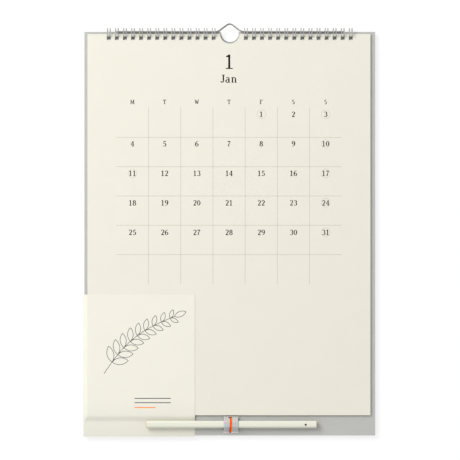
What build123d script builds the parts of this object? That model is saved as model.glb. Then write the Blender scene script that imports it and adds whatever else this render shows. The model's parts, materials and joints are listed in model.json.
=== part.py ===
"""Wall calendar on a wire hanger, in millimetres: X to the right, Y towards the wall, Z up.

The origin is where a nail's shank touches the hanger, at the inside top of the wire's hump.
"""

import os
from math import asin, atan, cos, degrees, floor, hypot, pi, radians, sin, sqrt, tan

from build123d import *

# Pages, a block of sheets
page_width = 297.0
page_height = 400.0
page_x = -0.9  # their middle, beside the middle of the board
sheet_thickness = 0.15
sheet_count = 14
page_to_board = 0.1
page_below_axis = 1.7  # top edge of the pages below the middle of the loops

# Backing board
board_side_margin = 4.25  # half of what it is wider than the pages
board_below_pages = 21.5
board_thickness = 2.0

# Twin loops: one wire on each side, bent into pairs of rings
loop_pitch = 25.4 / 3
loops_left_out = 3  # in the middle, where the hump stands
loop_row_margin = 21.0  # least width of page past the middle of the last loop
loop_radius = 4.45  # of the wire's centre line
pair_spacing = 2.8
loop_wire_diameter = 1.0
seam_angle = 284.0  # round from straight down, over the front: 270 is straight back
seam_gap = 8.0  # degrees between the closed tips and the roots
ring_steps = 17  # straight steps in a ring, between its root and its tip

# Punched holes and thumb notch
hole_width = 4.2
hole_height = 4.5
hole_clearance = 0.35
notch_below_bar = 2.0
page_notch_radius = 10.5
board_notch_radius = 9.4

# Hanger wire
hanger_diameter = 1.7
hump_rise = 8.15
hump_half_width = 12.6  # where the hump's straight sides would meet the bar
hump_top_radius = 5.5
flare_radius = 9.0
bar_end_inset = 8.0  # from the middle of the last loop
bar_above_axis = 0.65
bar_behind_axis = 0.15

# Pencil, across the board below the pages
pencil_length = 178.8
pencil_across_corners = 7.85  # before its corners are rounded
pencil_corner_radius = 0.5
pencil_x = 1.7
pencil_above_bottom = 11.9  # its axis above the board's bottom edge
pencil_clearance = 0.2
lead_diameter = 2.0
lead_clearance = 0.02

# Elastic strap over the pencil, with its tails glued to the board's back
strap_width = 15.0
strap_thickness = 1.0
strap_x = 1.3
strap_clearance = 0.15
strap_upper_slot = 8.15  # from the pencil's axis
strap_lower_slot = 7.85
strap_tail = 11.0
strap_bend = 0.9
strap_standoff = 0.6  # from the board's front to where the strap turns into a slot
slot_clearance = 0.2
glue_line = 0.05

# Orange band over the strap
orange_width = 2.3
orange_thickness = 0.4
orange_x = 0.6
orange_inner_end = 0.9
orange_slit_depth = 2.0  # below the strap's upper slot
slit_clearance = 0.3

# Paper wrap round the left edge
wrap_thickness = 0.25
wrap_clearance = 0.15
wrap_height = 149.35
wrap_front_width = 117.25
wrap_overhang = 1.2  # past the board's left and lower edges
wrap_back_length = 72.0
wrap_step_height = 4.4
wrap_shoulder_radius = 1.5
wrap_fold_radius = 1.0
wrap_fold_shift = 0.2  # the fold lies nearer the front beside the pages

# Places that follow from these sizes
bar_z = hanger_diameter / 2 - hump_rise
axis_y = -bar_behind_axis
axis_z = bar_z - bar_above_axis
page_thickness = sheet_thickness * sheet_count
page_front = axis_y - page_thickness / 2
page_back = axis_y + page_thickness / 2
page_top = axis_z - page_below_axis
page_bottom = page_top - page_height
board_width = page_width + 2 * board_side_margin
board_front = page_back + page_to_board
board_back = board_front + board_thickness
board_top = bar_z + bar_behind_axis
board_bottom = page_bottom - board_below_pages
board_height = board_top - board_bottom
notch_z = bar_z - notch_below_bar

loop_wire_side = loop_wire_diameter * sqrt(pi) / 2  # a square wire of the round one's section
loop_inner = loop_radius - loop_wire_side / 2
row_end = page_width / 2 - loop_row_margin
loops_per_side = floor(row_end / loop_pitch - (loops_left_out - 1) / 2)
side_centre = (loops_left_out + loops_per_side) / 2 * loop_pitch
half_pair = pair_spacing / 2
bar_half_length = side_centre + (loops_per_side - 1) / 2 * loop_pitch - bar_end_inset

pencil_z = board_bottom + pencil_above_bottom
pencil_flats = pencil_across_corners * cos(radians(30))
pencil_y = board_front - glue_line - wrap_thickness - pencil_clearance - pencil_flats / 2


def beside(points, distance):
    """Corners of the line that runs to the left of these points, at that distance from each run."""
    vectors = [Vector(*p) for p in points]
    ways = [(b - a).normalized() for a, b in zip(vectors, vectors[1:])]
    lefts = [Vector(-w.Y, w.X) for w in ways]
    inner = [
        p + (a + b) * (distance / (1 + a.dot(b)))
        for p, a, b in zip(vectors[1:-1], lefts, lefts[1:])
    ]
    ends = vectors[0] + lefts[0] * distance, vectors[-1] + lefts[-1] * distance
    return [ends[0], *inner, ends[1]]


def hole_top(far_face):
    """Height of a punched hole's top edge, which clears the loop where it leaves the far face."""
    reach = far_face - axis_y
    return axis_z - sqrt(loop_inner**2 - reach**2) + hole_clearance


def punched_holes(far_face):
    """The row of square holes on each side of the notch, cut from the sketch in hand."""
    middle = hole_top(far_face) - hole_height / 2
    with Locations((-side_centre, middle), (side_centre, middle)):
        with GridLocations(loop_pitch, hole_height, loops_per_side, 1):
            Rectangle(hole_width, hole_height, mode=Mode.SUBTRACT)


# Strap centre line in the Y-Z plane, from the tail above the pencil to the tail below it
strap_off_pencil = strap_clearance + strap_thickness / 2
strap_corner = pencil_across_corners / 2 + strap_off_pencil / cos(radians(30))
strap_front = pencil_y - strap_corner * cos(radians(30))
strap_rear = board_back + glue_line + strap_thickness / 2
strap_mouth = board_front - strap_standoff
upper_slot_z = pencil_z + strap_upper_slot
lower_slot_z = pencil_z - strap_lower_slot
strap_line = [
    (strap_rear, upper_slot_z + strap_tail),
    (strap_rear, upper_slot_z),
    (strap_mouth, upper_slot_z),
    (strap_front, pencil_z + strap_corner / 2),
    (strap_front, pencil_z - strap_corner / 2),
    (strap_mouth, lower_slot_z),
    (strap_rear, lower_slot_z),
    (strap_rear, lower_slot_z + strap_tail),
]

# Orange band: through a slit in the strap, down over it, and out behind the board with it
strap_to_orange = strap_thickness / 2 + glue_line + orange_thickness / 2
slope = (Vector(*strap_line[3]) - Vector(*strap_line[2])).normalized()
outward = Vector(slope.Y, -slope.X)
slit = Vector(*strap_line[2]) + slope * (orange_slit_depth / -slope.Y)
over_strap = beside([strap_line[2], *strap_line[3:]], -strap_to_orange)
orange_start = slit - outward * (strap_thickness / 2 + orange_inner_end)
orange_line = [orange_start, slit + outward * strap_to_orange, *over_strap[1:]]

# Backing board
with BuildPart() as backing_board:
    with BuildSketch(Plane.XZ.offset(-board_back)):
        with Locations((0, board_top)):
            Rectangle(board_width, board_height, align=(Align.CENTER, Align.MAX))
        with Locations((0, notch_z)):
            Circle(board_notch_radius, mode=Mode.SUBTRACT)
        punched_holes(board_back)
        slot_width = strap_width + 2 * slot_clearance
        with Locations((strap_x, upper_slot_z)):
            Rectangle(slot_width, strap_thickness + 2 * slot_clearance, mode=Mode.SUBTRACT)
        lower_slot_top = lower_slot_z + strap_thickness / 2 + slot_clearance
        lower_slot_end = lower_slot_z - strap_to_orange - orange_thickness / 2 - slot_clearance
        with Locations((strap_x, (lower_slot_top + lower_slot_end) / 2)):
            Rectangle(slot_width, lower_slot_top - lower_slot_end, mode=Mode.SUBTRACT)
    extrude(amount=board_thickness)

# Page block
with BuildPart() as page_block:
    with BuildSketch(Plane.XZ.offset(-page_back)):
        with Locations((page_x, page_top)):
            Rectangle(page_width, page_height, align=(Align.CENTER, Align.MAX))
        with Locations((0, notch_z)):
            Circle(page_notch_radius, mode=Mode.SUBTRACT)
        punched_holes(page_back)
    extrude(amount=page_thickness)


def wire_band(start, turn, steps):
    """Section of the wire across the loops' axis, over part of its way round, in straight steps."""
    angles = [radians(start + turn * step / steps) for step in range(steps + 1)]
    outer, inner = (
        [(axis_y - radius * sin(a), axis_z - radius * cos(a)) for a in angles]
        for radius in (loop_radius + loop_wire_side / 2, loop_inner)
    )
    with BuildSketch(Plane.YZ) as band:
        with BuildLine():
            Polyline(*outer, *reversed(inner), close=True)
        make_face()
    return band.sketch


# One wire on each side: roots join each pair of rings to the next, and a closed tip ends each pair
bar_turn = degrees(loop_wire_side / loop_radius)
root_start = seam_angle + seam_gap / 2
ring_start = root_start + bar_turn
ring_turn = 360 - seam_gap - 2 * bar_turn
ring = extrude(wire_band(ring_start, ring_turn, ring_steps), loop_wire_side / 2, both=True)
tip_half_width = half_pair + loop_wire_side / 2
tip = extrude(wire_band(ring_start + ring_turn, bar_turn, 1), tip_half_width, both=True)
root_half_width = loop_pitch / 2 - half_pair + loop_wire_side / 2
root_band = wire_band(root_start, bar_turn, 1)
root = extrude(root_band, root_half_width, both=True)
wire_end = extrude(root_band, loop_wire_side / 2, both=True)


def twin_loop(middle):
    """The wire on one side of the hump, about the middle of its row of loops."""
    cut_end = (loops_per_side - 1) / 2 * loop_pitch + half_pair
    with BuildPart() as wire:
        with Locations((middle - half_pair, 0), (middle + half_pair, 0)):
            with GridLocations(loop_pitch, 1, loops_per_side, 1):
                add(ring)
        with Locations((middle, 0)):
            with GridLocations(loop_pitch, 1, loops_per_side, 1):
                add(tip)
            with GridLocations(loop_pitch, 1, loops_per_side - 1, 1):
                add(root)
        with Locations((middle - cut_end, 0), (middle + cut_end, 0)):
            add(wire_end)
    return wire


twin_loop_left = twin_loop(-side_centre)
twin_loop_right = twin_loop(side_centre)

# Hanger wire: a bar with a rounded hump in the middle
arc_centre_rise = hump_rise - hump_top_radius
side_slope = atan(arc_centre_rise / hump_half_width) + asin(
    hump_top_radius / hypot(hump_half_width, arc_centre_rise)
)
peak_z = bar_z + hump_half_width * tan(side_slope)
with BuildPart() as hanger_wire:
    with BuildLine(Plane.XZ) as hanger_line:
        FilletPolyline(
            (-bar_half_length, bar_z),
            (-hump_half_width, bar_z),
            (0, peak_z),
            (hump_half_width, bar_z),
            (bar_half_length, bar_z),
            radius=[flare_radius, hump_top_radius, flare_radius],
        )
    with BuildSketch(Plane(origin=(-bar_half_length, 0, bar_z), z_dir=(1, 0, 0))):
        Circle(hanger_diameter / 2)
    sweep()

# Pencil
pencil_end = pencil_x - pencil_length / 2
with BuildPart() as pencil_casing:
    with BuildSketch(Plane.YZ.offset(pencil_end)):
        with Locations((pencil_y, pencil_z)):
            RegularPolygon(pencil_across_corners / 2, 6, rotation=30)
        fillet(vertices(), pencil_corner_radius)
        with Locations((pencil_y, pencil_z)):
            Circle(lead_diameter / 2, mode=Mode.SUBTRACT)
    extrude(amount=pencil_length)

with BuildPart() as pencil_lead:
    with BuildSketch(Plane.YZ.offset(pencil_end)):
        with Locations((pencil_y, pencil_z)):
            Circle(lead_diameter / 2 - lead_clearance)
    extrude(amount=pencil_length)

# Elastic strap, with the orange band's slit
with BuildPart() as pencil_strap:
    with BuildSketch(Plane.YZ.offset(strap_x)):
        with BuildLine():
            FilletPolyline(*strap_line, radius=strap_bend)
        trace(line_width=strap_thickness)
    extrude(amount=strap_width / 2, both=True)
    slit_face = Plane((orange_x, slit.X, slit.Y), x_dir=(1, 0, 0), z_dir=(0, outward.X, outward.Y))
    with BuildSketch(slit_face):
        Rectangle(orange_width + slit_clearance, orange_thickness + slit_clearance)
    extrude(amount=strap_thickness, both=True, mode=Mode.SUBTRACT)

with BuildPart() as orange_band:
    with BuildSketch(Plane.YZ.offset(orange_x)):
        with BuildLine():
            FilletPolyline(*orange_line, radius=orange_thickness)
        trace(line_width=orange_thickness)
    extrude(amount=orange_width / 2, both=True)

# Paper wrap: over the pages and round the board's edge, with a step down below the pages
wrap_edge = -board_width / 2 - wrap_overhang
wrap_left = wrap_edge + wrap_thickness / 2
wrap_right = wrap_edge + wrap_front_width
wrap_rear = board_back + glue_line + wrap_thickness / 2
wrap_low_front = board_front - glue_line - wrap_thickness / 2
wrap_high_front = page_front - wrap_clearance - wrap_thickness / 2
wrap_bottom = board_bottom - wrap_overhang
wrap_top = wrap_bottom + wrap_height
step_top = page_bottom - wrap_clearance
step_bottom = step_top - wrap_step_height


def wrap_section(height, front, shoulder, fold_front):
    """The wrap's section at a height: front run, shoulder, fold round the edge, and back run."""
    with BuildSketch(Plane.XY.offset(height)) as section:
        with BuildLine():
            FilletPolyline(
                (wrap_right, front),
                (shoulder, front),
                (wrap_left, fold_front),
                (wrap_left, wrap_rear),
                (wrap_left + wrap_back_length, wrap_rear),
                radius=[wrap_shoulder_radius, wrap_fold_radius, wrap_fold_radius],
            )
        trace(line_width=wrap_thickness)
    return section


page_shoulder = page_x - page_width / 2 - wrap_clearance
board_shoulder = -board_width / 2 + wrap_clearance
high_fold = wrap_low_front - wrap_fold_shift
low_fold = wrap_low_front + wrap_clearance
high_section = wrap_section(step_top, wrap_high_front, page_shoulder, high_fold)
low_section = wrap_section(step_bottom, wrap_low_front, board_shoulder, low_fold)
with BuildPart() as paper_wrap:
    extrude(high_section.sketch, amount=wrap_top - step_top)
    loft([high_section.sketch, low_section.sketch], ruled=True)
    extrude(low_section.sketch, amount=wrap_bottom - step_bottom)

# Labels and files
nodes = {
    "backing_board": backing_board,
    "page_block": page_block,
    "twin_loop_left": twin_loop_left,
    "twin_loop_right": twin_loop_right,
    "hanger_wire": hanger_wire,
    "pencil_casing": pencil_casing,
    "pencil_lead": pencil_lead,
    "pencil_strap": pencil_strap,
    "orange_band": orange_band,
    "paper_wrap": paper_wrap,
}
os.makedirs("parts", exist_ok=True)
for label, node in nodes.items():
    node.part.label = label
    export_step(node.part, f"parts/{label}.step")
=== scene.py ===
"""Wall calendar, dressed: paper, print, wire, pencil and strap on the fixed frame, in metres.

X runs to the right, Y towards the wall and Z up. The origin is where the nail holds the hanger.
"""

import json

import bpy
import numpy as np
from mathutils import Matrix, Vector


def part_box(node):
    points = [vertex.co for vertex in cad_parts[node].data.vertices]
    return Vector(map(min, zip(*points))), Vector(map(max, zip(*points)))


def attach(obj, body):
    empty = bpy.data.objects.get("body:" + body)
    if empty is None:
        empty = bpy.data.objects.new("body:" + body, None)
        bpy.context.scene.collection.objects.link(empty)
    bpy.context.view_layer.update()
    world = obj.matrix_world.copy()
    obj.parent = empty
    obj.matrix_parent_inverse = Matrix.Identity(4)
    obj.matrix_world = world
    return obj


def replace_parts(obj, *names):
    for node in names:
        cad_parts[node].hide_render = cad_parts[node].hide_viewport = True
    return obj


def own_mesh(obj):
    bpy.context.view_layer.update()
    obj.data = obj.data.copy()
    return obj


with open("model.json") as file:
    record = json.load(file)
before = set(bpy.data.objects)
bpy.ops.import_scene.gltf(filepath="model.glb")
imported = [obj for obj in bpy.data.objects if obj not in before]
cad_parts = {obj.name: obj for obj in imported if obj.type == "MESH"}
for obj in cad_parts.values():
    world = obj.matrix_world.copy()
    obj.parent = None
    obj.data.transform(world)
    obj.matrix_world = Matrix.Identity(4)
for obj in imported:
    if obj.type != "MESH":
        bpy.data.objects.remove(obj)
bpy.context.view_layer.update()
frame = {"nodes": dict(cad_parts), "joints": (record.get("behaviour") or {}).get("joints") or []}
scene = bpy.context.scene
mm = 0.001

# Places that the frame gives
joints = {joint["name"]: joint for joint in frame["joints"]}
loop_axis = Vector(joints["page_turn"]["pos_m"])
bar_z = joints["calendar_swing"]["pos_m"][2]
page_low, page_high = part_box("page_block")
board_low, board_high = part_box("backing_board")
casing_low, casing_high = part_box("pencil_casing")
pencil_middle = (casing_low + casing_high) / 2
wrap_low, wrap_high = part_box("paper_wrap")
hanger_low, hanger_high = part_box("hanger_wire")

# Sheets, with their rows of points up to where the notch's columns begin to close up
sheet_count = 14
sheet_thickness = 0.11 * mm
sheet_shift = 0.09 * mm
sheet_seed = 7
sheet_rows = 8
margin_points = 4
closing_height = 20.0 * mm
notch_radius = 10.5 * mm
notch_below_bar = 2.0 * mm
notch_z = bar_z - notch_below_bar
notch_points = 33

# Twin loops and their holes
loop_pitch = 25.4 / 3 * mm
loops_per_side = 14
loops_left_out = 3
loop_radius = 4.45 * mm
loop_wire_radius = 0.5 * mm
pair_spacing = 2.8 * mm
wire_bend = 1.1 * mm
wire_step = 0.55 * mm
wire_sides = 10
root_turn = np.radians(293.7)
tip_turn = np.radians(634.3)
side_centre = (loops_left_out + loops_per_side) / 2 * loop_pitch
hole_width = 4.2 * mm
hole_height = 4.5 * mm
hole_clearance = 0.35 * mm

# A hole's top clears the rings at the pages' back, with the wire as in the solids: square, of the
# round wire's area, so that half its side is radius * sqrt(pi) / 2
loop_inner = loop_radius - loop_wire_radius * np.sqrt(np.pi) / 2
hole_reach = page_high.y - loop_axis.y
hole_top = loop_axis.z - np.sqrt(loop_inner**2 - hole_reach**2) + hole_clearance

# Hanger
hanger_radius = 0.85 * mm
hanger_sides = 20
hump_half_width = 12.6 * mm
hump_bends = (9.0 * mm, 5.5 * mm, 9.0 * mm)

# Pencil and strap
pencil_apothem = (casing_high.y - casing_low.y) / 2
pencil_across = 7.85 * mm
pencil_sides = 96
corner_sharpness = 34
lead_radius = 1.0 * mm
end_chamfer = 0.4 * mm
dot_x = 79.5 * mm
dot_radius = 0.55 * mm
dot_points = 25
strap_x = 1.3 * mm
strap_width = 15.0 * mm
strap_thickness = 1.0 * mm
strap_clearance = 0.15 * mm
strap_upper_slot = 8.15 * mm
strap_lower_slot = 7.85 * mm
strap_tail = 11.0 * mm
strap_bend = 0.9 * mm
strap_standoff = 0.6 * mm
strap_step = 0.5 * mm
strap_ribs = 6
rib_height = 0.34 * mm
rib_points = 10
strap_thread = 0.35 * mm
glue_line = 0.05 * mm
orange_x = 0.6 * mm
orange_width = 2.0 * mm
orange_thickness = 0.4 * mm
orange_crown = 0.25
orange_points = 9
orange_thread = 0.25 * mm
orange_step = 0.35 * mm
orange_sway = 0.4 * mm
orange_sway_turn = 2.6 * np.pi
orange_slit_depth = 2.0 * mm
orange_inner_end = 0.9 * mm
# The dark ellipse in the slit's mouth is painted shadow
slit_width = 3.2 * mm
slit_height = 1.4 * mm
slit_depth = 0.12 * mm
slit_rise = 0.6 * mm
slit_points = 9
slit_sides = 12

# Paper wrap, with its rows of points above, on and below the step
wrap_thickness = 0.25 * mm
wrap_clearance = 0.15 * mm
wrap_step_top = page_low.z - wrap_clearance
wrap_step_height = 7.4 * mm
wrap_low_front = board_low.y - glue_line - wrap_thickness / 2
wrap_high_front = page_low.y - wrap_clearance - wrap_thickness / 2
wrap_bends = (1.5 * mm, 1.0 * mm, 1.0 * mm)
wrap_bend_steps = 6
wrap_fold_shift = 0.2 * mm
wrap_back_length = 72.0 * mm
wrap_rows = (24, 13, 8)
wrap_columns = 40
# Height over which the wrap darkens towards its bottom edge: painted shade
wrap_shade_height = 40.0 * mm
fold_start = wrap_bend_steps + 2

# Print on the page
ink_rise = 0.02 * mm
column_pitch = 33.8 * mm
row_pitch = 30.75 * mm
table_x = -0.8 * mm
first_rule_z = -118.1 * mm
level_rules = 5
rule_half_length = 118.4 * mm
upright_rules = 6
upright_rule_top = -86.5 * mm
upright_rule_bottom = -272.0 * mm
rule_width = 0.42 * mm
first_date_z = -93.8 * mm
date_pitch = 31.0 * mm
date_height = 5.6 * mm
figure_half_pitch = 0.36 * date_height
month_number_height = 15.1 * mm
month_number_x = 0.2 * mm
month_number_z = -38.7 * mm
month_number_weight = 0.95
month_word_height = 8.2 * mm
month_word_z = -60.6 * mm
month_word_places = (-6.4 * mm, -1.1 * mm, 5.2 * mm)
word_weight = 1.2
small_weight = 1.22
hairline = 0.5 * mm
initial_height = 4.5 * mm
initial_z = -83.1 * mm
circle_radius = 4.6 * mm
circle_width = 0.28 * mm
circle_points = 49
circled_dates = (1, 3, 10, 11, 17, 24, 31)
last_date = 31
first_date_column = 4
bowl_points = 21

# Print on the wrap
sprig_width = 0.6 * mm
sprig_start = np.array([-132, -366]) * mm
sprig_end = np.array([-58, -306]) * mm
sprig_bow = 9.0 * mm
sprig_points = 41
leaf_pairs = 9
first_leaf = 6
leaf_spacing = 4
leaf_turn = 0.85
leaf_shrink = 0.055
leaf_points = 15
leaf_length, leaf_width = 17.0 * mm, 3.6 * mm
tip_length, tip_width = 13.0 * mm, 2.8 * mm
short_rule_width = 0.9 * mm
short_rule_left = -100 * mm
grey_rule_right = -62 * mm
grey_rule_heights = (-392 * mm, -396.5 * mm)
orange_rule_right = -78 * mm
orange_rule_height = -401.5 * mm

# Stage, camera and light
picture_width = 483 * mm
camera_distance = 2.4
camera_x = 0.21 * mm
camera_z = -215.3 * mm
wall_y = 6.5 * mm
wall_half_width = 0.8
wall_top = 0.6
wall_grey = 0.32
wall_glow = 0.7
# Patches of wall without glow, behind the holes and in the notch: painted shade
shade_y = wall_y - 0.2 * mm
shade_grey = 0.4
hole_shade_height = 8.0 * mm
# The notch's crescent of painted shadow
crescent_outer = notch_radius + 1.0 * mm
crescent_inner = 9.15 * mm
crescent_shift = (0.3 * mm, 0.6 * mm)
crescent_points = 25
floor_half_width = 4.0
floor_z = -0.75
key_place = (-1.45, -1.75, 1.21)
key_size = 1.3
key_power = 49.5
sheen_place = (1.2, -1.7, 1.5)
sheen_size = 1.3
sheen_power = 30
world_strength = 0.67


def rounded_line(corners, radii, arc_steps=8):
    """A line in a plane with a tangent arc at each inner corner, of one radius or one for each.

    The arc's centre stands radius / sin(half the corner's angle) away, on the corner's bisector.
    """
    corners = np.array(corners, float)
    radii = np.broadcast_to(np.array(radii, float), len(corners) - 2)
    middle = corners[1:-1]
    back, on = corners[:-2] - middle, corners[2:] - middle
    back /= np.linalg.norm(back, axis=1, keepdims=True)
    on /= np.linalg.norm(on, axis=1, keepdims=True)
    half = np.arccos(np.clip((back * on).sum(1), -1, 1)) / 2
    bisector = (back + on) / np.linalg.norm(back + on, axis=1, keepdims=True)
    centre = middle + bisector * (radii / np.sin(half))[:, None]
    foot = (radii / np.tan(half))[:, None]
    start, end = middle + back * foot - centre, middle + on * foot - centre
    first = np.arctan2(start[:, 1], start[:, 0])
    turn = (np.arctan2(end[:, 1], end[:, 0]) - first + np.pi) % (2 * np.pi) - np.pi
    angle = first[:, None] + turn[:, None] * np.linspace(0, 1, arc_steps + 1)
    arcs = centre[:, None] + radii[:, None, None] * np.stack([np.cos(angle), np.sin(angle)], -1)
    return np.vstack([corners[:1], arcs.reshape(-1, 2), corners[-1:]])


def spaced(line, step):
    """Points about a step apart along a line, by linear interpolation over its length."""
    lengths = np.linalg.norm(np.diff(line, axis=0), axis=1)
    along = np.concatenate([[0], np.cumsum(lengths)])
    places = np.linspace(0, along[-1], int(round(along[-1] / step)) + 1)
    return np.stack([np.interp(places, along, line[:, k]) for k in range(line.shape[1])], -1)


def grid_faces(rows, columns, round_rows=False, round_columns=False):
    """A square between each two neighbouring rows and columns of a grid numbered by rows."""
    r = np.arange(rows if round_rows else rows - 1)[:, None]
    c = np.arange(columns if round_columns else columns - 1)[None, :]
    row, next_row = r * columns, (r + 1) % rows * columns
    next_c = (c + 1) % columns
    corners = [row + c, row + next_c, next_row + next_c, next_row + c]
    return np.stack(corners, -1).reshape(-1, 4)


def mesh_piece(name, points, faces, material, sharp=35):
    """A smooth-shaded mesh object of these points and faces, with edges sharp past an angle."""
    mesh = bpy.data.meshes.new(name)
    faces = [list(map(int, face)) for face in faces]
    mesh.from_pydata(np.reshape(points, (-1, 3)).tolist(), [], faces)
    mesh.shade_smooth()
    mesh.set_sharp_from_angle(angle=np.radians(sharp))
    mark_rims(mesh)
    mesh.materials.append(material)
    piece = bpy.data.objects.new(name, mesh)
    scene.collection.objects.link(piece)
    return piece


def mark_rims(mesh):
    """A sheet's rims, the edges with one face, are sharp too, so that it stays flat up to them."""
    used = np.zeros(len(mesh.loops), np.int32)
    mesh.loops.foreach_get("edge_index", used)
    sharp = np.zeros(len(mesh.edges), bool)
    mesh.edges.foreach_get("use_edge_sharp", sharp)
    rim = np.bincount(used, minlength=len(mesh.edges)) == 1
    mesh.edges.foreach_set("use_edge_sharp", sharp | rim)


def swept(name, path, normals, profile, material, sharp=35):
    """A closed profile carried along a path.

    A point is path + u * normal + v * (tangent x normal), for each (u, v) of the profile,
    which runs anticlockwise. The normal is one for the path or one for each point of it.
    Both ends are closed.
    """
    normals = np.broadcast_to(np.array(normals, float), path.shape)
    tangents = np.gradient(path, axis=0)
    tangents /= np.linalg.norm(tangents, axis=1, keepdims=True)
    across = np.cross(tangents, normals)
    u, v = profile[:, :1], profile[:, 1:]
    points = path[:, None] + normals[:, None] * u + across[:, None] * v
    rows, columns = points.shape[:2]
    faces = grid_faces(rows, columns, round_columns=True).tolist()
    faces.append(list(range(columns))[::-1])
    faces.append(list(range((rows - 1) * columns, rows * columns)))
    return mesh_piece(name, points, faces, material, sharp)


def arc_points(radius, start, end, count):
    """Points on a circle from one angle to another, with both ends."""
    turn = np.linspace(start, end, count)
    return radius * np.stack([np.cos(turn), np.sin(turn)], -1)


def circle_profile(radius, sides):
    """Points round a circle, with the first one not repeated."""
    return arc_points(radius, 0, 2 * np.pi, sides + 1)[:-1]


def solidified(piece, thickness, offset):
    """The sheet gets its thickness, behind its grid at offset -1 and to both sides of it at 0."""
    modifier = piece.modifiers.new("thickness", "SOLIDIFY")
    modifier.thickness = thickness
    modifier.offset = offset
    return piece


# Materials


def new_material(name, roughness, metallic=0.0, specular=0.5):
    """A material with its shader's plain values set, and the node tree and shader to build on."""
    material = bpy.data.materials.new(name)
    material.use_nodes = True
    tree = material.node_tree
    shader = tree.nodes["Principled BSDF"]
    shader.inputs["Roughness"].default_value = roughness
    shader.inputs["Metallic"].default_value = metallic
    shader.inputs["Specular IOR Level"].default_value = specular
    return material, tree, shader


def add_node(tree, kind, inputs=None, **settings):
    """A node with these settings, its inputs given as values or as sockets to link."""
    node = tree.nodes.new(kind)
    for name, value in settings.items():
        setattr(node, name, value)
    for name, value in (inputs or {}).items():
        if isinstance(value, bpy.types.NodeSocket):
            tree.links.new(value, node.inputs[name])
        else:
            node.inputs[name].default_value = value
    return node


def noise(tree, coordinates, scale, detail, squeeze=(1, 1, 1)):
    """A noise factor. Each coordinate is multiplied by its squeeze, which draws it out below 1."""
    mapping = add_node(tree, "ShaderNodeMapping", {"Vector": coordinates, "Scale": squeeze})
    inputs = {"Vector": mapping.outputs[0], "Scale": scale, "Detail": detail}
    return add_node(tree, "ShaderNodeTexNoise", inputs).outputs["Fac"]


def mixed(tree, factor, first, second):
    """A colour between two colours, given as values or sockets."""
    node = add_node(tree, "ShaderNodeMix", data_type="RGBA")
    tree.links.new(factor, node.inputs[0])
    for socket, colour in ((node.inputs[6], first), (node.inputs[7], second)):
        if isinstance(colour, bpy.types.NodeSocket):
            tree.links.new(colour, socket)
        else:
            socket.default_value = (*colour, 1)
    return node.outputs[2]


def spread(tree, value, low, high, to_low=0.0, to_high=1.0):
    """A factor with the range low to high stretched to another, and held at its ends."""
    ranges = {"From Min": low, "From Max": high, "To Min": to_low, "To Max": to_high}
    return add_node(tree, "ShaderNodeMapRange", {"Value": value, **ranges}).outputs[0]


def bump(tree, shader, height, distance, strength):
    """A fine relief on the shader's normal."""
    inputs = {"Height": height, "Distance": distance, "Strength": strength}
    tree.links.new(add_node(tree, "ShaderNodeBump", inputs).outputs[0], shader.inputs["Normal"])


def object_coordinates(tree):
    """Coordinates in the piece's own metres."""
    return add_node(tree, "ShaderNodeTexCoord").outputs["Object"]


def darker(colour, share):
    """This share of a colour."""
    return [value * share for value in colour]


def paper(name, colour, roughness=0.72, foot=None):
    """Uncoated paper: a faint cloudy tone, and a relief of fine fibres.

    A foot is two heights, between which the paper darkens downwards: painted shade.
    """
    material, tree, shader = new_material(name, roughness, specular=0.25)
    at = object_coordinates(tree)
    cloud = spread(tree, noise(tree, at, 38, 3), 0.3, 0.7)
    grain = spread(tree, noise(tree, at, 1500, 2), 0.3, 0.7)
    tone = mixed(tree, cloud, darker(colour, 0.982), colour)
    tone = mixed(tree, spread(tree, grain, 0, 1, 0, 0.35), tone, darker(colour, 0.965))
    # Painted shade: the colour darkens downwards between the two heights
    if foot:
        height = add_node(tree, "ShaderNodeSeparateXYZ", {0: at}).outputs["Z"]
        tone = mixed(tree, spread(tree, height, *foot), darker(colour, 0.89), tone)
    tree.links.new(tone, shader.inputs["Base Color"])
    bump(tree, shader, noise(tree, at, 2600, 3, (1, 1, 0.5)), 0.02 * mm, 0.5)
    return material


def greyboard():
    """Grey bookbinding board: soft clouds, fine speckle, streaks along X and small dark flecks."""
    material, tree, shader = new_material("grey_board", 0.85, specular=0.2)
    at = object_coordinates(tree)
    cloud = spread(tree, noise(tree, at, 90, 5, (0.5, 1, 1)), 0.3, 0.7, -0.2, 0.2)
    grain = spread(tree, noise(tree, at, 950, 6), 0.35, 0.65)
    speckle = add_node(tree, "ShaderNodeMath", {0: grain, 1: cloud}, operation="ADD").outputs[0]
    streak = spread(tree, noise(tree, at, 700, 3, (0.06, 1, 1)), 0.35, 0.65)
    cell = add_node(tree, "ShaderNodeTexVoronoi", {"Vector": at, "Scale": 420.0})
    fleck = spread(tree, cell.outputs["Distance"], 0.06, 0.16, 0.55, 0.0)
    tone = mixed(tree, speckle, (0.455, 0.455, 0.44), (0.52, 0.52, 0.505))
    streaked = mixed(tree, spread(tree, streak, 0, 1, 0, 0.5), tone, (0.49, 0.485, 0.465))
    tree.links.new(mixed(tree, fleck, streaked, (0.38, 0.375, 0.36)), shader.inputs["Base Color"])
    bump(tree, shader, noise(tree, at, 1300, 5), 0.05 * mm, 0.6)
    return material


def coated_wire():
    """Off-white coated wire: satin, with a faintly dimpled skin."""
    material, tree, shader = new_material("coated_wire", 0.32)
    at = object_coordinates(tree)
    tone = mixed(tree, noise(tree, at, 300, 2), (0.36, 0.36, 0.35), (0.48, 0.48, 0.47))
    tree.links.new(tone, shader.inputs["Base Color"])
    bump(tree, shader, noise(tree, at, 1800, 2), 0.01 * mm, 0.4)
    return material


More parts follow.
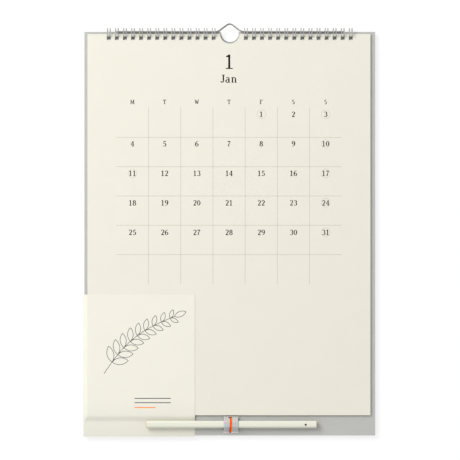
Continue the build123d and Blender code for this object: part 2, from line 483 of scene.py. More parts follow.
def steel_wire():
    """Grey drawn steel, with fine streaks along the bar."""
    material, tree, shader = new_material("steel_wire", 0.34, metallic=1.0)
    at = object_coordinates(tree)
    streak = noise(tree, at, 2200, 3, (0.03, 1, 1))
    tone = mixed(tree, streak, (0.27, 0.27, 0.26), (0.40, 0.40, 0.385))
    tree.links.new(tone, shader.inputs["Base Color"])
    tree.links.new(spread(tree, streak, 0.3, 0.7, 0.26, 0.42), shader.inputs["Roughness"])
    bump(tree, shader, streak, 0.01 * mm, 0.3)
    return material


def lacquer():
    """Cream lacquer on wood: glossy, with a faint ripple along the grain."""
    material, tree, shader = new_material("pencil_lacquer", 0.28)
    shader.inputs["Coat Weight"].default_value = 0.35
    shader.inputs["Coat Roughness"].default_value = 0.12
    at = object_coordinates(tree)
    ripple = noise(tree, at, 420, 3, (0.08, 1, 1))
    tone = mixed(tree, ripple, (0.74, 0.745, 0.63), (0.80, 0.80, 0.69))
    tree.links.new(tone, shader.inputs["Base Color"])
    bump(tree, shader, ripple, 0.03 * mm, 0.35)
    return material


def cut_wood():
    """Sawn pencil wood: pale reddish brown with year lines."""
    material, tree, shader = new_material("cut_wood", 0.7, specular=0.2)
    at = object_coordinates(tree)
    lines = noise(tree, at, 1500, 3, (1, 1, 0.2))
    tone = mixed(tree, spread(tree, lines, 0.35, 0.65), (0.50, 0.30, 0.17), (0.72, 0.50, 0.32))
    tree.links.new(tone, shader.inputs["Base Color"])
    bump(tree, shader, lines, 0.03 * mm, 0.5)
    return material


def graphite():
    """Graphite: dark grey with a low metallic sheen."""
    material, tree, shader = new_material("graphite", 0.42, specular=0.6)
    at = object_coordinates(tree)
    tone = mixed(tree, noise(tree, at, 2500, 3), (0.03, 0.03, 0.032), (0.09, 0.09, 0.095))
    tree.links.new(tone, shader.inputs["Base Color"])
    bump(tree, shader, noise(tree, at, 3000, 2), 0.02 * mm, 0.4)
    return material


def woven(name, light, dark, thread, sheen, specular):
    """A woven band: threads across it and along it, on the piece's own UV map.

    The wave texture's bands are 0.31 / scale wide, so the scale gives the thread its width.
    """
    material, tree, shader = new_material(name, 0.78, specular=specular)
    shader.inputs["Sheen Weight"].default_value = sheen
    at = add_node(tree, "ShaderNodeTexCoord").outputs["UV"]
    wave = {"Vector": at, "Scale": 0.31 / thread}
    weft = add_node(tree, "ShaderNodeTexWave", wave, bands_direction="Y").outputs["Fac"]
    warp = add_node(tree, "ShaderNodeTexWave", wave, bands_direction="X").outputs["Fac"]
    weave = add_node(tree, "ShaderNodeMath", {0: weft, 1: warp}, operation="MULTIPLY").outputs[0]
    blotch = noise(tree, at, 900, 3)
    tone = mixed(tree, spread(tree, blotch, 0.3, 0.7), dark, light)
    tone = mixed(tree, spread(tree, weave, 0, 1, 0.35, 0), tone, dark)
    tree.links.new(tone, shader.inputs["Base Color"])
    bump(tree, shader, weave, 0.05 * mm, 0.6)
    return material


def ink(name, colour):
    """Printing ink: matt, a little uneven."""
    material, tree, shader = new_material(name, 0.6, specular=0.06)
    at = object_coordinates(tree)
    lighter = [value * 1.25 + 0.006 for value in colour]
    tone = mixed(tree, spread(tree, noise(tree, at, 900, 3), 0.35, 0.7), colour, lighter)
    tree.links.new(tone, shader.inputs["Base Color"])
    bump(tree, shader, noise(tree, at, 2500, 2), 0.01 * mm, 0.3)
    return material


page_paper = paper("page_paper", (0.78, 0.76, 0.665))
# The wrap paper darkens towards its bottom edge: painted shade
wrap_painted_shade = (wrap_low.z, wrap_low.z + wrap_shade_height)
wrap_paper = paper("wrap_paper", (0.815, 0.795, 0.705), 0.6, wrap_painted_shade)
board_grey = greyboard()
wire_white = coated_wire()
wire_steel = steel_wire()
pencil_cream = lacquer()
pencil_wood = cut_wood()
lead_grey = graphite()
strap_grey = woven(
    "strap_elastic", (0.70, 0.70, 0.68), (0.42, 0.42, 0.41), strap_thread, sheen=0.2, specular=0.2
)
tape_orange = woven(
    "orange_tape", (1.0, 0.12, 0.0), (0.85, 0.07, 0.0), orange_thread, sheen=0.0, specular=0.03
)
# Dark ink, used for print and also for the painted shadow in the strap's slit
dark_ink_and_painted_shadow = ink("dark_ink_and_painted_shadow", (0.004, 0.002, 0.001))
ink_soft = ink("ink_soft", (0.02, 0.016, 0.014))
ink_rule = ink("ink_rule", (0.46, 0.44, 0.385))
ink_line = ink("ink_line", (0.10, 0.097, 0.093))
ink_orange = ink("ink_orange", (0.90, 0.20, 0.03))


# Pages


def loop_places():
    """X of the middle of each loop of one side, from that side's own middle, left to right."""
    return (np.arange(loops_per_side) - (loops_per_side - 1) / 2) * loop_pitch


def page_sheets():
    """The pad's sheets, each a flat grid of columns at the holes' edges and round the notch.

    Rows run from the bottom edge to the top one. Over the notch a column ends at the notch's arc,
    notch_z - sqrt(radius^2 - x^2), and its upper rows close up in step. Holes are cells left out.
    """
    chord = np.sqrt(notch_radius**2 - (page_high.z - notch_z) ** 2)
    middles = np.concatenate([loop_places() - side_centre, loop_places() + side_centre])
    lefts, rights = middles - hole_width / 2, middles + hole_width / 2
    notch = chord * np.sin(np.linspace(-np.pi / 2, np.pi / 2, notch_points))
    left_margin = np.linspace(page_low.x, lefts[0], margin_points)[:-1]
    right_margin = np.linspace(rights[-1], page_high.x, margin_points)[1:]
    x = np.sort(np.concatenate([left_margin, right_margin, lefts, rights, notch]))
    low_z = page_high.z - closing_height
    hole_bottom = hole_top - hole_height
    rows = np.linspace(page_low.z, low_z, sheet_rows)
    z = np.concatenate([rows, [hole_bottom, hole_top, page_high.z]])
    arc = notch_z - np.sqrt(np.clip(notch_radius**2 - x**2, 0, None))
    top = np.where(np.abs(x) < chord, arc, page_high.z)
    share = np.clip((z - low_z) / (page_high.z - low_z), 0, 1)[:, None]
    height = np.where(share > 0, low_z + share * (top - low_z), z[:, None] + 0 * x)
    in_hole = np.isclose(x[:-1, None], lefts, atol=1e-6).any(1)
    hole_row = np.isclose(z[:-1], hole_bottom)
    faces = grid_faces(len(z), len(x))[~(hole_row[:, None] & in_hole).ravel()]
    random = np.random.default_rng(sheet_seed)
    shift = random.uniform(-sheet_shift, sheet_shift, (sheet_count, 2))
    shift[0] = 0
    front = np.linspace(page_low.y, page_high.y, sheet_count, endpoint=False)
    points = np.empty((sheet_count, len(z), len(x), 3))
    points[..., 0] = x + shift[:, 0, None, None]
    points[..., 1] = front[:, None, None]
    points[..., 2] = height + shift[:, 1, None, None]
    first_points = np.arange(sheet_count) * height.size
    all_faces = (faces + first_points[:, None, None]).reshape(-1, 4)
    piece = mesh_piece("page_sheets", points, all_faces, page_paper)
    return solidified(piece, sheet_thickness, -1)


# Print: a glyph is a list of strokes, each a line with its width, in a square one letter high


def bowl(x, y, half_width, half_height, start, end, thick=0.17, thin=0.06):
    """Part of an ellipse from one angle to another, thick where it runs upright."""
    turn = np.radians(np.linspace(start, end, bowl_points))
    line = np.stack([x + half_width * np.cos(turn), y + half_height * np.sin(turn)], -1)
    return line, thin + (thick - thin) * np.cos(turn) ** 2


def bar(x, y, end_x, end_y, width, end_width=None):
    """A straight stroke, which may grow or thin on its way."""
    return np.array([[x, y], [end_x, end_y]]), np.array([width, end_width or width])


glyphs = {
    "0": [bowl(0.33, 0.5, 0.23, 0.46, 0, 360)],
    "1": [
        bar(0.36, 0, 0.36, 1, 0.15),
        bar(0.14, 0.86, 0.36, 0.91, 0.08, 0.16),
        bar(0.12, 0.03, 0.6, 0.03, 0.07),
    ],
    "2": [
        bowl(0.31, 0.72, 0.22, 0.25, 165, -35),
        bar(0.49, 0.58, 0.1, 0.08, 0.16, 0.07),
        bar(0.07, 0.07, 0.57, 0.07, 0.14),
    ],
    "3": [bowl(0.29, 0.75, 0.2, 0.22, 155, -85), bowl(0.29, 0.28, 0.24, 0.25, 88, -155)],
    "4": [
        bar(0.44, 0, 0.44, 0.98, 0.15),
        bar(0.42, 0.96, 0.04, 0.31, 0.06),
        bar(0.02, 0.29, 0.63, 0.29, 0.07),
        bar(0.28, 0.03, 0.6, 0.03, 0.06),
    ],
    "5": [
        bar(0.12, 0.92, 0.53, 0.92, 0.13),
        bar(0.14, 0.95, 0.12, 0.48, 0.06),
        bowl(0.29, 0.32, 0.24, 0.29, 130, -150),
    ],
    "6": [bowl(0.34, 0.29, 0.23, 0.26, 0, 360), bowl(0.5, 0.42, 0.39, 0.54, 80, 190)],
    "7": [
        bar(0.07, 0.92, 0.59, 0.92, 0.14),
        bar(0.56, 0.9, 0.28, 0.42, 0.06, 0.12),
        bar(0.28, 0.44, 0.24, 0, 0.12, 0.17),
    ],
    "8": [bowl(0.33, 0.74, 0.19, 0.22, 0, 360), bowl(0.33, 0.27, 0.23, 0.25, 0, 360)],
    "9": [bowl(0.32, 0.71, 0.23, 0.26, 0, 360), bowl(0.16, 0.58, 0.39, 0.54, -100, 10)],
    "M": [
        bar(0.14, 0, 0.14, 1, 0.08),
        bar(0.8, 0, 0.8, 1, 0.15),
        bar(0.14, 1, 0.46, 0.12, 0.14),
        bar(0.8, 1, 0.46, 0.12, 0.07),
        bar(0.02, 0.03, 0.28, 0.03, 0.06),
        bar(0.64, 0.03, 0.96, 0.03, 0.06),
    ],
    "T": [
        bar(0.04, 0.96, 0.72, 0.96, 0.08),
        bar(0.38, 0, 0.38, 1, 0.15),
        bar(0.22, 0.03, 0.54, 0.03, 0.06),
        bar(0.06, 0.96, 0.06, 0.74, 0.06),
        bar(0.7, 0.96, 0.7, 0.74, 0.06),
    ],
    "W": [
        bar(0.1, 1, 0.32, 0.04, 0.14),
        bar(0.32, 0.04, 0.5, 0.86, 0.07),
        bar(0.5, 0.86, 0.7, 0.04, 0.14),
        bar(0.7, 0.04, 0.92, 1, 0.07),
        bar(0, 0.97, 0.22, 0.97, 0.06),
        bar(0.8, 0.97, 1.02, 0.97, 0.06),
    ],
    "F": [
        bar(0.18, 0, 0.18, 1, 0.15),
        bar(0.05, 0.96, 0.64, 0.96, 0.08),
        bar(0.62, 0.96, 0.62, 0.74, 0.06),
        bar(0.18, 0.52, 0.46, 0.52, 0.07),
        bar(0.04, 0.03, 0.36, 0.03, 0.06),
    ],
    "S": [
        bowl(0.31, 0.74, 0.19, 0.22, 40, 270, 0.14, 0.1),
        bowl(0.31, 0.27, 0.22, 0.25, 90, -145, 0.14, 0.1),
    ],
    "J": [
        bar(0.38, 0.24, 0.38, 1, 0.15),
        bowl(0.22, 0.22, 0.16, 0.18, 0, -165, 0.15, 0.08),
        bar(0.18, 0.97, 0.58, 0.97, 0.07),
    ],
    "a": [
        bar(0.46, 0.05, 0.46, 0.48, 0.14),
        bowl(0.29, 0.48, 0.17, 0.19, 0, 155, 0.14, 0.07),
        bowl(0.27, 0.2, 0.19, 0.18, 0, 360, 0.14, 0.07),
        bar(0.44, 0.04, 0.6, 0.04, 0.07),
    ],
    "n": [
        bar(0.14, 0, 0.14, 0.66, 0.14),
        bowl(0.33, 0.44, 0.2, 0.22, 0, 165, 0.14, 0.07),
        bar(0.53, 0, 0.53, 0.44, 0.14),
        bar(0.02, 0.03, 0.28, 0.03, 0.07),
        bar(0.4, 0.03, 0.67, 0.03, 0.07),
        bar(0, 0.65, 0.16, 0.65, 0.07),
    ],
}


def glyph_strokes(glyph, middle_x, base_z, height, weight):
    """The glyph's strokes at its height on the page, centred on a place by its own width.

    Its widths are a share of the height times the weight, and no finer than a hairline.
    """
    lines = glyphs[glyph]
    reach = np.concatenate([line[:, 0] for line, width in lines])
    start = middle_x - (reach.min() + reach.max()) / 2 * height
    place = (start, base_z)
    scale = height * weight
    return [(line * height + place, np.maximum(width * scale, hairline)) for line, width in lines]


def printed(name, strokes, face_y, material):
    """Strokes as thin raised bands: each line offset to its left and right by half its width.

    The band's section is a rectangle, which reaches as far behind the paper's face as the ink rises
    in front of it.
    """
    front, rear = face_y - ink_rise, face_y + ink_rise
    points, faces, count = [], [], 0
    for line, width in strokes:
        ways = np.gradient(line, axis=0)
        ways /= np.linalg.norm(ways, axis=1, keepdims=True)
        side = np.stack([-ways[:, 1], ways[:, 0]], -1) * (width / 2)[:, None]
        left, right = line + side, line - side
        ring = [(left, front), (right, front), (right, rear), (left, rear)]
        grid = np.stack([np.insert(edge, 1, y, axis=1) for edge, y in ring], 1)
        rows = len(line)
        closed = grid_faces(rows, 4, round_columns=True)
        ends = np.array([[3, 2, 1, 0], np.arange(4) + (rows - 1) * 4])
        points.append(grid.reshape(-1, 3))
        faces.append(np.vstack([closed, ends]) + count)
        count += rows * 4
    return mesh_piece(name, np.vstack(points), np.vstack(faces), material, sharp=20)


def column_x(weekday):
    """The middle of a weekday's column. Of 0 to 6, column 3 is the table's middle one."""
    return table_x + (weekday - 3) * column_pitch


def date_places():
    """Each date with the middle of its cell: X by its weekday, Z by its row."""
    dates = np.arange(1, last_date + 1)
    cell = dates - 1 + first_date_column
    z = first_date_z - cell // 7 * date_pitch
    return list(zip(dates.tolist(), column_x(cell % 7), z))


def date_strokes():
    """All the date numerals, two-figure ones with their figures side by side."""
    strokes = []
    for date, x, z in date_places():
        figures = str(date)
        for place, figure in enumerate(figures):
            middle = x + (2 * place - len(figures) + 1) * figure_half_pitch
            strokes += glyph_strokes(figure, middle, z - date_height / 2, date_height, small_weight)
    return strokes


def heading_strokes():
    """The month's number and its short word, centred on the page."""
    middle, base = table_x + month_number_x, month_number_z - month_number_height / 2
    strokes = glyph_strokes("1", middle, base, month_number_height, month_number_weight)
    for glyph, x in zip("Jan", month_word_places):
        strokes += glyph_strokes(glyph, table_x + x, month_word_z, month_word_height, word_weight)
    return strokes


def initial_strokes():
    """The weekday initials over their columns."""
    strokes = []
    for day, initial in enumerate("MTWTFSS"):
        strokes += glyph_strokes(initial, column_x(day), initial_z, initial_height, small_weight)
    return strokes


def rule_strokes():
    """The table's level and upright rules."""
    width = np.full(2, rule_width)
    level_z = first_rule_z - np.arange(level_rules) * row_pitch
    upright_x = table_x + (np.arange(upright_rules) - (upright_rules - 1) / 2) * column_pitch
    ends_x = np.array([-rule_half_length, rule_half_length]) + table_x
    ends_z = np.array([upright_rule_top, upright_rule_bottom])
    level_lines = [(np.stack([ends_x, [z, z]], -1), width) for z in level_z]
    upright_lines = [(np.stack([[x, x], ends_z], -1), width) for x in upright_x]
    return level_lines + upright_lines


def circle_strokes():
    """Thin circles round some dates."""
    ring = arc_points(circle_radius, 0, 2 * np.pi, circle_points)
    width = np.full(len(ring), circle_width)
    return [(ring + (x, z), width) for date, x, z in date_places() if date in circled_dates]


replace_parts(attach(page_sheets(), "pages"), "page_block")
for name, strokes, material in (
    ("date_numerals", date_strokes(), ink_soft),
    ("month_heading", heading_strokes(), dark_ink_and_painted_shadow),
    ("weekday_initials", initial_strokes(), ink_soft),
    ("table_rules", rule_strokes(), ink_rule),
    ("date_circles", circle_strokes(), ink_rule),
):
    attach(printed(name, strokes, page_low.y, material), "pages")


# Wires


def loop_wire(name, middle):
    """One wire bent into pairs of rings.

    Unrolled, it is a line that steps along X and runs up and down between root and tip, with its
    corners rounded. Rolled up, the run s lies at the angle s / radius round the loops' axis.
    """
    steps = np.array([-1, -1, 1, 1]) * pair_spacing / 2
    x = (loop_places()[:, None] + steps).ravel()
    turns = np.tile([root_turn, tip_turn, tip_turn, root_turn], loops_per_side)
    corners = np.stack([x, turns * loop_radius], -1)
    flat = spaced(rounded_line(corners, wire_bend), wire_step)
    angle = flat[:, 1] / loop_radius
    outward = np.stack([0 * angle, -np.sin(angle), -np.cos(angle)], -1)
    path = outward * loop_radius + (0, loop_axis.y, loop_axis.z)
    path[:, 0] = flat[:, 0] + middle
    return swept(name, path, outward, circle_profile(loop_wire_radius, wire_sides), wire_white)


def hanger():
    """The hanger: a straight bar with a rounded hump, in the X-Z plane."""
    corners = [
        (hanger_low.x, bar_z),
        (-hump_half_width, bar_z),
        (0, hump_corner_z()),
        (hump_half_width, bar_z),
        (hanger_high.x, bar_z),
    ]
    path = np.insert(rounded_line(corners, hump_bends, arc_steps=20), 1, 0, axis=1)
    profile = circle_profile(hanger_radius, hanger_sides)
    return swept("hanger_bar", path, (0, 1, 0), profile, wire_steel)


def hump_corner_z():
    """Where the hump's straight sides would meet, with its rounded top at the frame's height."""
    top = hanger_high.z - hanger_radius
    bend = hump_bends[1]
    rise = top - bend - bar_z
    slope = np.arctan(rise / hump_half_width) + np.arcsin(bend / np.hypot(hump_half_width, rise))
    return bar_z + hump_half_width * np.tan(slope)


for side, place in (("left", -side_centre), ("right", side_centre)):
    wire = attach(loop_wire(f"loop_wire_{side}", place), "board")
    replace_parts(wire, f"twin_loop_{side}")
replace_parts(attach(hanger(), "hanger"), "hanger_wire")


# Board, pencil and strap


def pencil():
    """The casing, a rounded hexagon: r = apothem * (sum of |cos(turn - flat)|^p)^(-1/p).

    Its ends are chamfered and close inwards to the lead's hole, which runs through.
    """
    turn = np.linspace(0, 2 * np.pi, pencil_sides, endpoint=False)
    flats = np.radians([0, 60, 120])
    reach = (np.abs(np.cos(turn[:, None] - flats)) ** corner_sharpness).sum(1)
    hexagon = pencil_apothem * reach ** (-1 / corner_sharpness)
    hole = np.full_like(turn, lead_radius)
    left, right = casing_low.x, casing_high.x
    inset = hexagon - end_chamfer
    rows = [
        (left, hole),
        (left, inset),
        (left + end_chamfer, hexagon),
        (right - end_chamfer, hexagon),
        (right, inset),
        (right, hole),
    ]
    lacquered_row = 2
    x = np.array([place for place, radius in rows])[:, None] + 0 * turn
    radius = np.array([radius for place, radius in rows])
    y = pencil_middle.y + radius * np.cos(turn)
    z = pencil_middle.z + radius * np.sin(turn)
    faces = grid_faces(len(rows), len(turn), round_rows=True, round_columns=True)[:, ::-1]
    piece = mesh_piece("pencil_body", np.stack([x, y, z], -1), faces, pencil_cream, sharp=25)
    piece.data.materials.append(pencil_wood)
    wood = (np.arange(len(faces)) // len(turn) != lacquered_row).astype(np.int32)
    piece.data.polygons.foreach_set("material_index", wood)
    return piece


def strap_line():
    """Corners of the strap's middle line, in Y and Z, from tail to tail over the pencil's flats."""
    off = strap_clearance + strap_thickness / 2
    flat_share = np.cos(np.radians(30))
    corner = pencil_across / 2 + off / flat_share
    front = pencil_middle.y - corner * flat_share
    rear = board_high.y + glue_line + strap_thickness / 2
    mouth = board_low.y - strap_standoff
    upper = pencil_middle.z + strap_upper_slot
    lower = pencil_middle.z - strap_lower_slot
    return np.array([
        (rear, upper + strap_tail),
        (rear, upper),
        (mouth, upper),
        (front, pencil_middle.z + corner / 2),
        (front, pencil_middle.z - corner / 2),
        (mouth, lower),
        (rear, lower),
        (rear, lower + strap_tail),
    ])


def band_uv(piece, path, profile):
    """A UV map in metres: across the band on U, and along its path on V."""
    along = np.concatenate([[0], np.cumsum(np.linalg.norm(np.diff(path, axis=0), axis=1))])
    across, columns = profile[:, 0], len(profile)
    corner = np.zeros(len(piece.data.loops), np.int32)
    piece.data.loops.foreach_get("vertex_index", corner)
    uv = np.stack([across[corner % columns], along[corner // columns]], -1)
    layer = piece.data.uv_layers.new(name="UVMap")
    layer.data.foreach_set("uv", uv.astype(np.float32).ravel())
    return piece


def band(name, line, x, profile, material):
    """A flat band whose middle follows a line in Y and Z, with X as its profile's first way."""
    path = np.insert(line, 0, x, axis=1)
    piece = swept(name, path, (1, 0, 0), profile, material, sharp=40)
    return band_uv(piece, path, profile)


def band_profile(across, face):
    """A band's section: its two faces, each this far from the middle at these places across."""
    return np.vstack([np.stack([across, -face], -1), np.stack([across[::-1], face[::-1]], -1)])


def strap():
    """The elastic: a rectangle with ribs, |sin| waves on both faces, carried along its line."""
    line = spaced(rounded_line(strap_line(), strap_bend), strap_step)
    across = np.linspace(-strap_width / 2, strap_width / 2, strap_ribs * rib_points + 1)
    wave = np.abs(np.sin(np.pi * (across / strap_width + 0.5) * strap_ribs))
    face = strap_thickness / 2 - rib_height * (1 - wave)
    return band("strap_band", line, strap_x, band_profile(across, face), strap_grey)


def orange_line():
    """The orange tape's middle line: out of the slit, down over the strap and behind the board."""
    line = strap_line()
    off = strap_thickness / 2 + glue_line + orange_thickness / 2
    ways = np.diff(line, axis=0)
    ways /= np.linalg.norm(ways, axis=1, keepdims=True)
    outward = np.stack([ways[:, 1], -ways[:, 0]], -1)
    slope, out = ways[2], outward[2]
    slit = line[2] + slope * (orange_slit_depth / -slope[1])
    sums = outward[2:6] + outward[3:7]
    corners = line[3:7] + sums * (off / (1 + (outward[2:6] * outward[3:7]).sum(1)))[:, None]
    start = slit - out * (strap_thickness / 2 + orange_inner_end)
    end = line[7] + outward[6] * off
    corners = [start, slit + out * off, *corners, end]
    return rounded_line(corners, orange_thickness, arc_steps=6)


def orange_tape():
    """The orange tape over the strap: a crowned band that sways a little, X + sway * sin(along)."""
    line = spaced(orange_line(), orange_step)
    x = orange_x + orange_sway * np.sin(np.linspace(0, orange_sway_turn, len(line)))
    half, edge = orange_width / 2, orange_thickness / 2
    across = np.linspace(-half, half, orange_points)
    face = edge * (1 - orange_crown + orange_crown * np.cos(across / half * np.pi / 2))
    return band("orange_band_tape", line, x, band_profile(across, face), tape_orange)


def strap_slit():
    """A painted shadow in the mouth of the slit that the tape comes out of: a dark ellipse swept
    along X.
    """
    line = strap_line()
    run = line[3] - line[2]
    slope = run / np.linalg.norm(run)
    out = np.array([slope[1], -slope[0]])
    down = (orange_slit_depth - slit_rise) / -slope[1]
    foot = line[2] + slope * down + out * strap_thickness / 2
    x = orange_x + np.linspace(-slit_width / 2, slit_width / 2, slit_points)
    path = np.stack([x, 0 * x + foot[0], 0 * x + foot[1]], -1)
    section = circle_profile(1, slit_sides) * (slit_depth, slit_height / 2)
    return swept("strap_slit", path, (0, *out), section, dark_ink_and_painted_shadow)


def pencil_dot():
    """A small plain dark dot on the front flat, near the right end."""
    ring = arc_points(dot_radius, 0, 2 * np.pi, dot_points) + (dot_x, pencil_middle.z)
    width = np.full(len(ring), 2 * dot_radius)
    return printed("pencil_dot", [(ring, width)], casing_low.y, dark_ink_and_painted_shadow)


for node, material in (("backing_board", board_grey), ("pencil_lead", lead_grey)):
    materials = frame["nodes"][node].data.materials
    materials.clear()
    materials.append(material)
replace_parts(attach(pencil(), "pencil"), "pencil_casing")
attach(pencil_dot(), "pencil")
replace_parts(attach(strap(), "board"), "pencil_strap")
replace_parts(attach(orange_tape(), "board"), "orange_band")
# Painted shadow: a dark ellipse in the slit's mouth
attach(strap_slit(), "board")


# Paper wrap


def wrap_line(front, shoulder, fold_front):
    """The wrap's section: front run, shoulder, fold round the board's edge, and back run."""
    left = wrap_low.x + wrap_thickness / 2
    rear = board_high.y + glue_line + wrap_thickness / 2
    corners = [
        (wrap_high.x, front),
        (shoulder, front),
        (left, fold_front),
        (left, rear),
        (left + wrap_back_length, rear),
    ]
    return rounded_line(corners, wrap_bends, wrap_bend_steps)


def wrap_part(name, high, low):
    """One part of the wrap: its section goes from the high to the low one below the pages.

    The share of the low section is 3s^2 - 2s^3, where s runs from 0 to 1 over the step.
    """
    rows_above, rows_on_step, rows_below = wrap_rows
    step = np.linspace(wrap_step_top, wrap_step_top - wrap_step_height, rows_on_step)
    above = np.linspace(wrap_high.z, step[0], rows_above)[:-1]
    below = np.linspace(step[-1], wrap_low.z, rows_below)[1:]
    z = np.concatenate([above, step, below])
    s = np.clip((wrap_step_top - z) / wrap_step_height, 0, 1)
    share = (s * s * (3 - 2 * s))[:, None, None]
    section = high * (1 - share) + low * share
    points = np.concatenate([section, z[:, None, None] + 0 * section[..., :1]], -1)
    piece = mesh_piece(name, points, grid_faces(*points.shape[:2]), wrap_paper)
    return solidified(piece, wrap_thickness, 0)


def fine_front(line):
    """The part of a section up to where the fold begins, with its long run cut into short ones."""
    run = np.linspace(line[0], line[1], wrap_columns)[:-1]
    return np.vstack([run, line[1 : fold_start + 1]])


def leaf(base, turn, length, width):
    """A leaf's outline, out along one side and back along the other.

    It stands off its spine by width * sin(pi * t)^0.8, where t runs from 0 to 1 along it.
    """
    t = np.linspace(0, 1, leaf_points)
    way = np.array([np.cos(turn), np.sin(turn)])
    side = np.array([-way[1], way[0]])
    bulge = width * np.sin(np.pi * t) ** 0.8
    spine = base + length * t[:, None] * way
    return np.vstack([spine + bulge[:, None] * side, (spine - bulge[:, None] * side)[::-1]])


def sprig_strokes():
    """A leafy sprig: a bowed stem with leaves to both sides, which grow smaller to its tip."""
    t = np.linspace(0, 1, sprig_points)
    run = sprig_end - sprig_start
    side = np.array([-run[1], run[0]]) / np.linalg.norm(run)
    stem = sprig_start + run * t[:, None] + side * (sprig_bow * np.sin(np.pi * t))[:, None]
    lines = [stem]
    for pair in range(leaf_pairs):
        at = first_leaf + pair * leaf_spacing
        turn = np.arctan2(*(stem[at + 1] - stem[at - 1])[::-1])
        size = 1 - leaf_shrink * pair
        length, width = leaf_length * size, leaf_width * size
        for hand in (-1, 1):
            lines.append(leaf(stem[at], turn + hand * leaf_turn, length, width))
    lines.append(leaf(stem[-1], np.arctan2(*(stem[-1] - stem[-3])[::-1]), tip_length, tip_width))
    return [(line, np.full(len(line), sprig_width)) for line in lines]


def short_rules(right, heights):
    """Short level lines, one at each height."""
    width = np.full(2, short_rule_width)
    return [(np.array([[short_rule_left, z], [right, z]]), width) for z in heights]


# The wrap's print stands on the outer face of its front run, above the step.
front_face = wrap_high_front - wrap_thickness / 2

high_shoulder, high_fold = page_low.x - wrap_clearance, wrap_low_front - wrap_fold_shift
low_shoulder, low_fold = board_low.x + wrap_clearance, wrap_low_front + wrap_clearance
high_line = wrap_line(wrap_high_front, high_shoulder, high_fold)
low_line = wrap_line(wrap_low_front, low_shoulder, low_fold)
wrap_front = wrap_part("paper_wrap_front", fine_front(high_line), fine_front(low_line))
wrap_back = wrap_part("paper_wrap_back", high_line[fold_start:], low_line[fold_start:])
for part in (wrap_front, wrap_back):
    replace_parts(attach(part, "board"), "paper_wrap")
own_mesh(wrap_front)
for name, strokes, material in (
    ("wrap_sprig", sprig_strokes(), ink_line),
    ("wrap_grey_rules", short_rules(grey_rule_right, grey_rule_heights), ink_line),
    ("wrap_orange_rule", short_rules(orange_rule_right, [orange_rule_height]), ink_orange),
):
    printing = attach(printed(name, strokes, front_face, material), "board")
    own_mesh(printing)


# Stage, light and camera


def wall_white(name, grey, glow):
    """Pale from the front and clear from behind, where it would hide the calendar's back."""
    material, tree, shader = new_material(name, 0.9, specular=0.0)
    shader.inputs["Base Color"].default_value = (grey, grey, grey, 1)
    shader.inputs["Emission Color"].default_value = (1, 1, 1, 1)
    shader.inputs["Emission Strength"].default_value = glow
    clear = add_node(tree, "ShaderNodeBsdfTransparent").outputs[0]
    side = add_node(tree, "ShaderNodeNewGeometry").outputs["Backfacing"]
    mix = add_node(tree, "ShaderNodeMixShader", {0: side, 1: shader.outputs[0], 2: clear})
    tree.links.new(mix.outputs[0], tree.nodes["Material Output"].inputs["Surface"])
    return material


def floor_pale():
    """A plain pale floor."""
    material, tree, shader = new_material("floor_pale", 0.9, specular=0.1)
    shader.inputs["Base Color"].default_value = (0.68, 0.68, 0.67, 1)
    return material


def area_light(name, place, target, size, power):
    """A soft square light that faces its target."""
    data = bpy.data.lights.new(name, "AREA")
    data.shape = "SQUARE"
    data.size = size
    data.energy = power
    light = bpy.data.objects.new(name, data)
    light.location = place
    light.rotation_euler = (Vector(target) - Vector(place)).to_track_quat("-Z", "Y").to_euler()
    scene.collection.objects.link(light)
    return light


def rectangle(left, right, low, high):
    """Its corners, anticlockwise, and its one face."""
    return np.array([(left, low), (right, low), (right, high), (left, high)]), [[0, 1, 2, 3]]


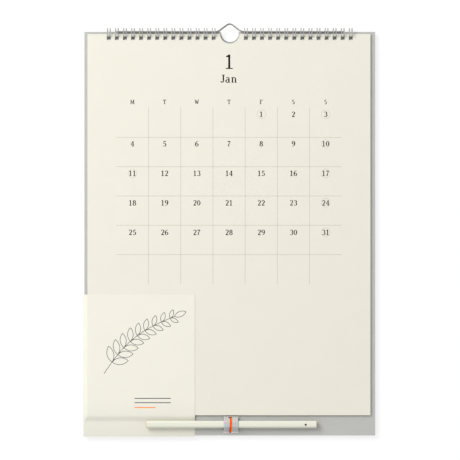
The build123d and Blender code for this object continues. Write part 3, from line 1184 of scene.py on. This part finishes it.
def notch_crescent():
    """Points and faces of a crescent of painted shadow on the wall, where the camera sees the
    notch's lower half.
    """
    reach = (camera_distance + wall_y) / (camera_distance + board_low.y)
    centre = np.array([camera_x * (1 - reach), camera_z + (notch_z - camera_z) * reach])
    outer = arc_points(crescent_outer, np.pi, 2 * np.pi, crescent_points) + centre
    inner = arc_points(crescent_inner, np.pi, 2 * np.pi, crescent_points) + centre + crescent_shift
    return np.vstack([outer, inner]), grid_faces(2, crescent_points)


def wall_part(name, shape, y, material):
    """A part of the wall, in X and Z, which neither shades nor lights the calendar."""
    points, faces = shape
    piece = mesh_piece(name, np.insert(points, 1, y, axis=1), faces, material)
    for kind in ("diffuse", "glossy", "transmission", "volume_scatter", "shadow"):
        setattr(piece, f"visible_{kind}", False)


white_wall = wall_white("wall_white", wall_grey, wall_glow)
whole_wall = rectangle(-wall_half_width, wall_half_width, floor_z, wall_top)
wall_part("wall", whole_wall, wall_y, white_wall)
# Painted shade: wall patches without the glow, put behind the holes so that they show dark
shaded_wall = wall_white("wall_shaded", shade_grey, 0.0)
row_half = loops_per_side * loop_pitch / 2
for side, place in (("left", -side_centre), ("right", side_centre)):
    shade = rectangle(place - row_half, place + row_half, hole_top - hole_shade_height, hole_top)
    wall_part(f"wall_painted_shade_behind_holes_{side}", shade, shade_y, shaded_wall)
# Painted shadow: a crescent of unglowing wall inside the notch
wall_part("wall_painted_shadow_in_notch", notch_crescent(), shade_y, shaded_wall)
corners, faces = rectangle(-floor_half_width, floor_half_width, -floor_half_width, floor_half_width)
mesh_piece("floor", np.insert(corners, 2, floor_z, axis=1), faces, floor_pale())

middle = (0, 0, camera_z)
area_light("key", key_place, middle, key_size, key_power).visible_glossy = False
area_light("sheen", sheen_place, middle, sheen_size, sheen_power).visible_diffuse = False
world = bpy.data.worlds.new("studio")
world.use_nodes = True
background = world.node_tree.nodes["Background"]
background.inputs["Color"].default_value = (1, 1, 1, 1)
background.inputs["Strength"].default_value = world_strength
scene.world = world
scene.view_settings.view_transform = "Standard"

camera_data = bpy.data.cameras.new("camera")
camera_data.lens = camera_data.sensor_width * camera_distance / picture_width
camera = bpy.data.objects.new("camera", camera_data)
camera.location = (camera_x, -camera_distance, camera_z)
camera.rotation_euler = (np.pi / 2, 0, 0)
scene.collection.objects.link(camera)
scene.camera = camera
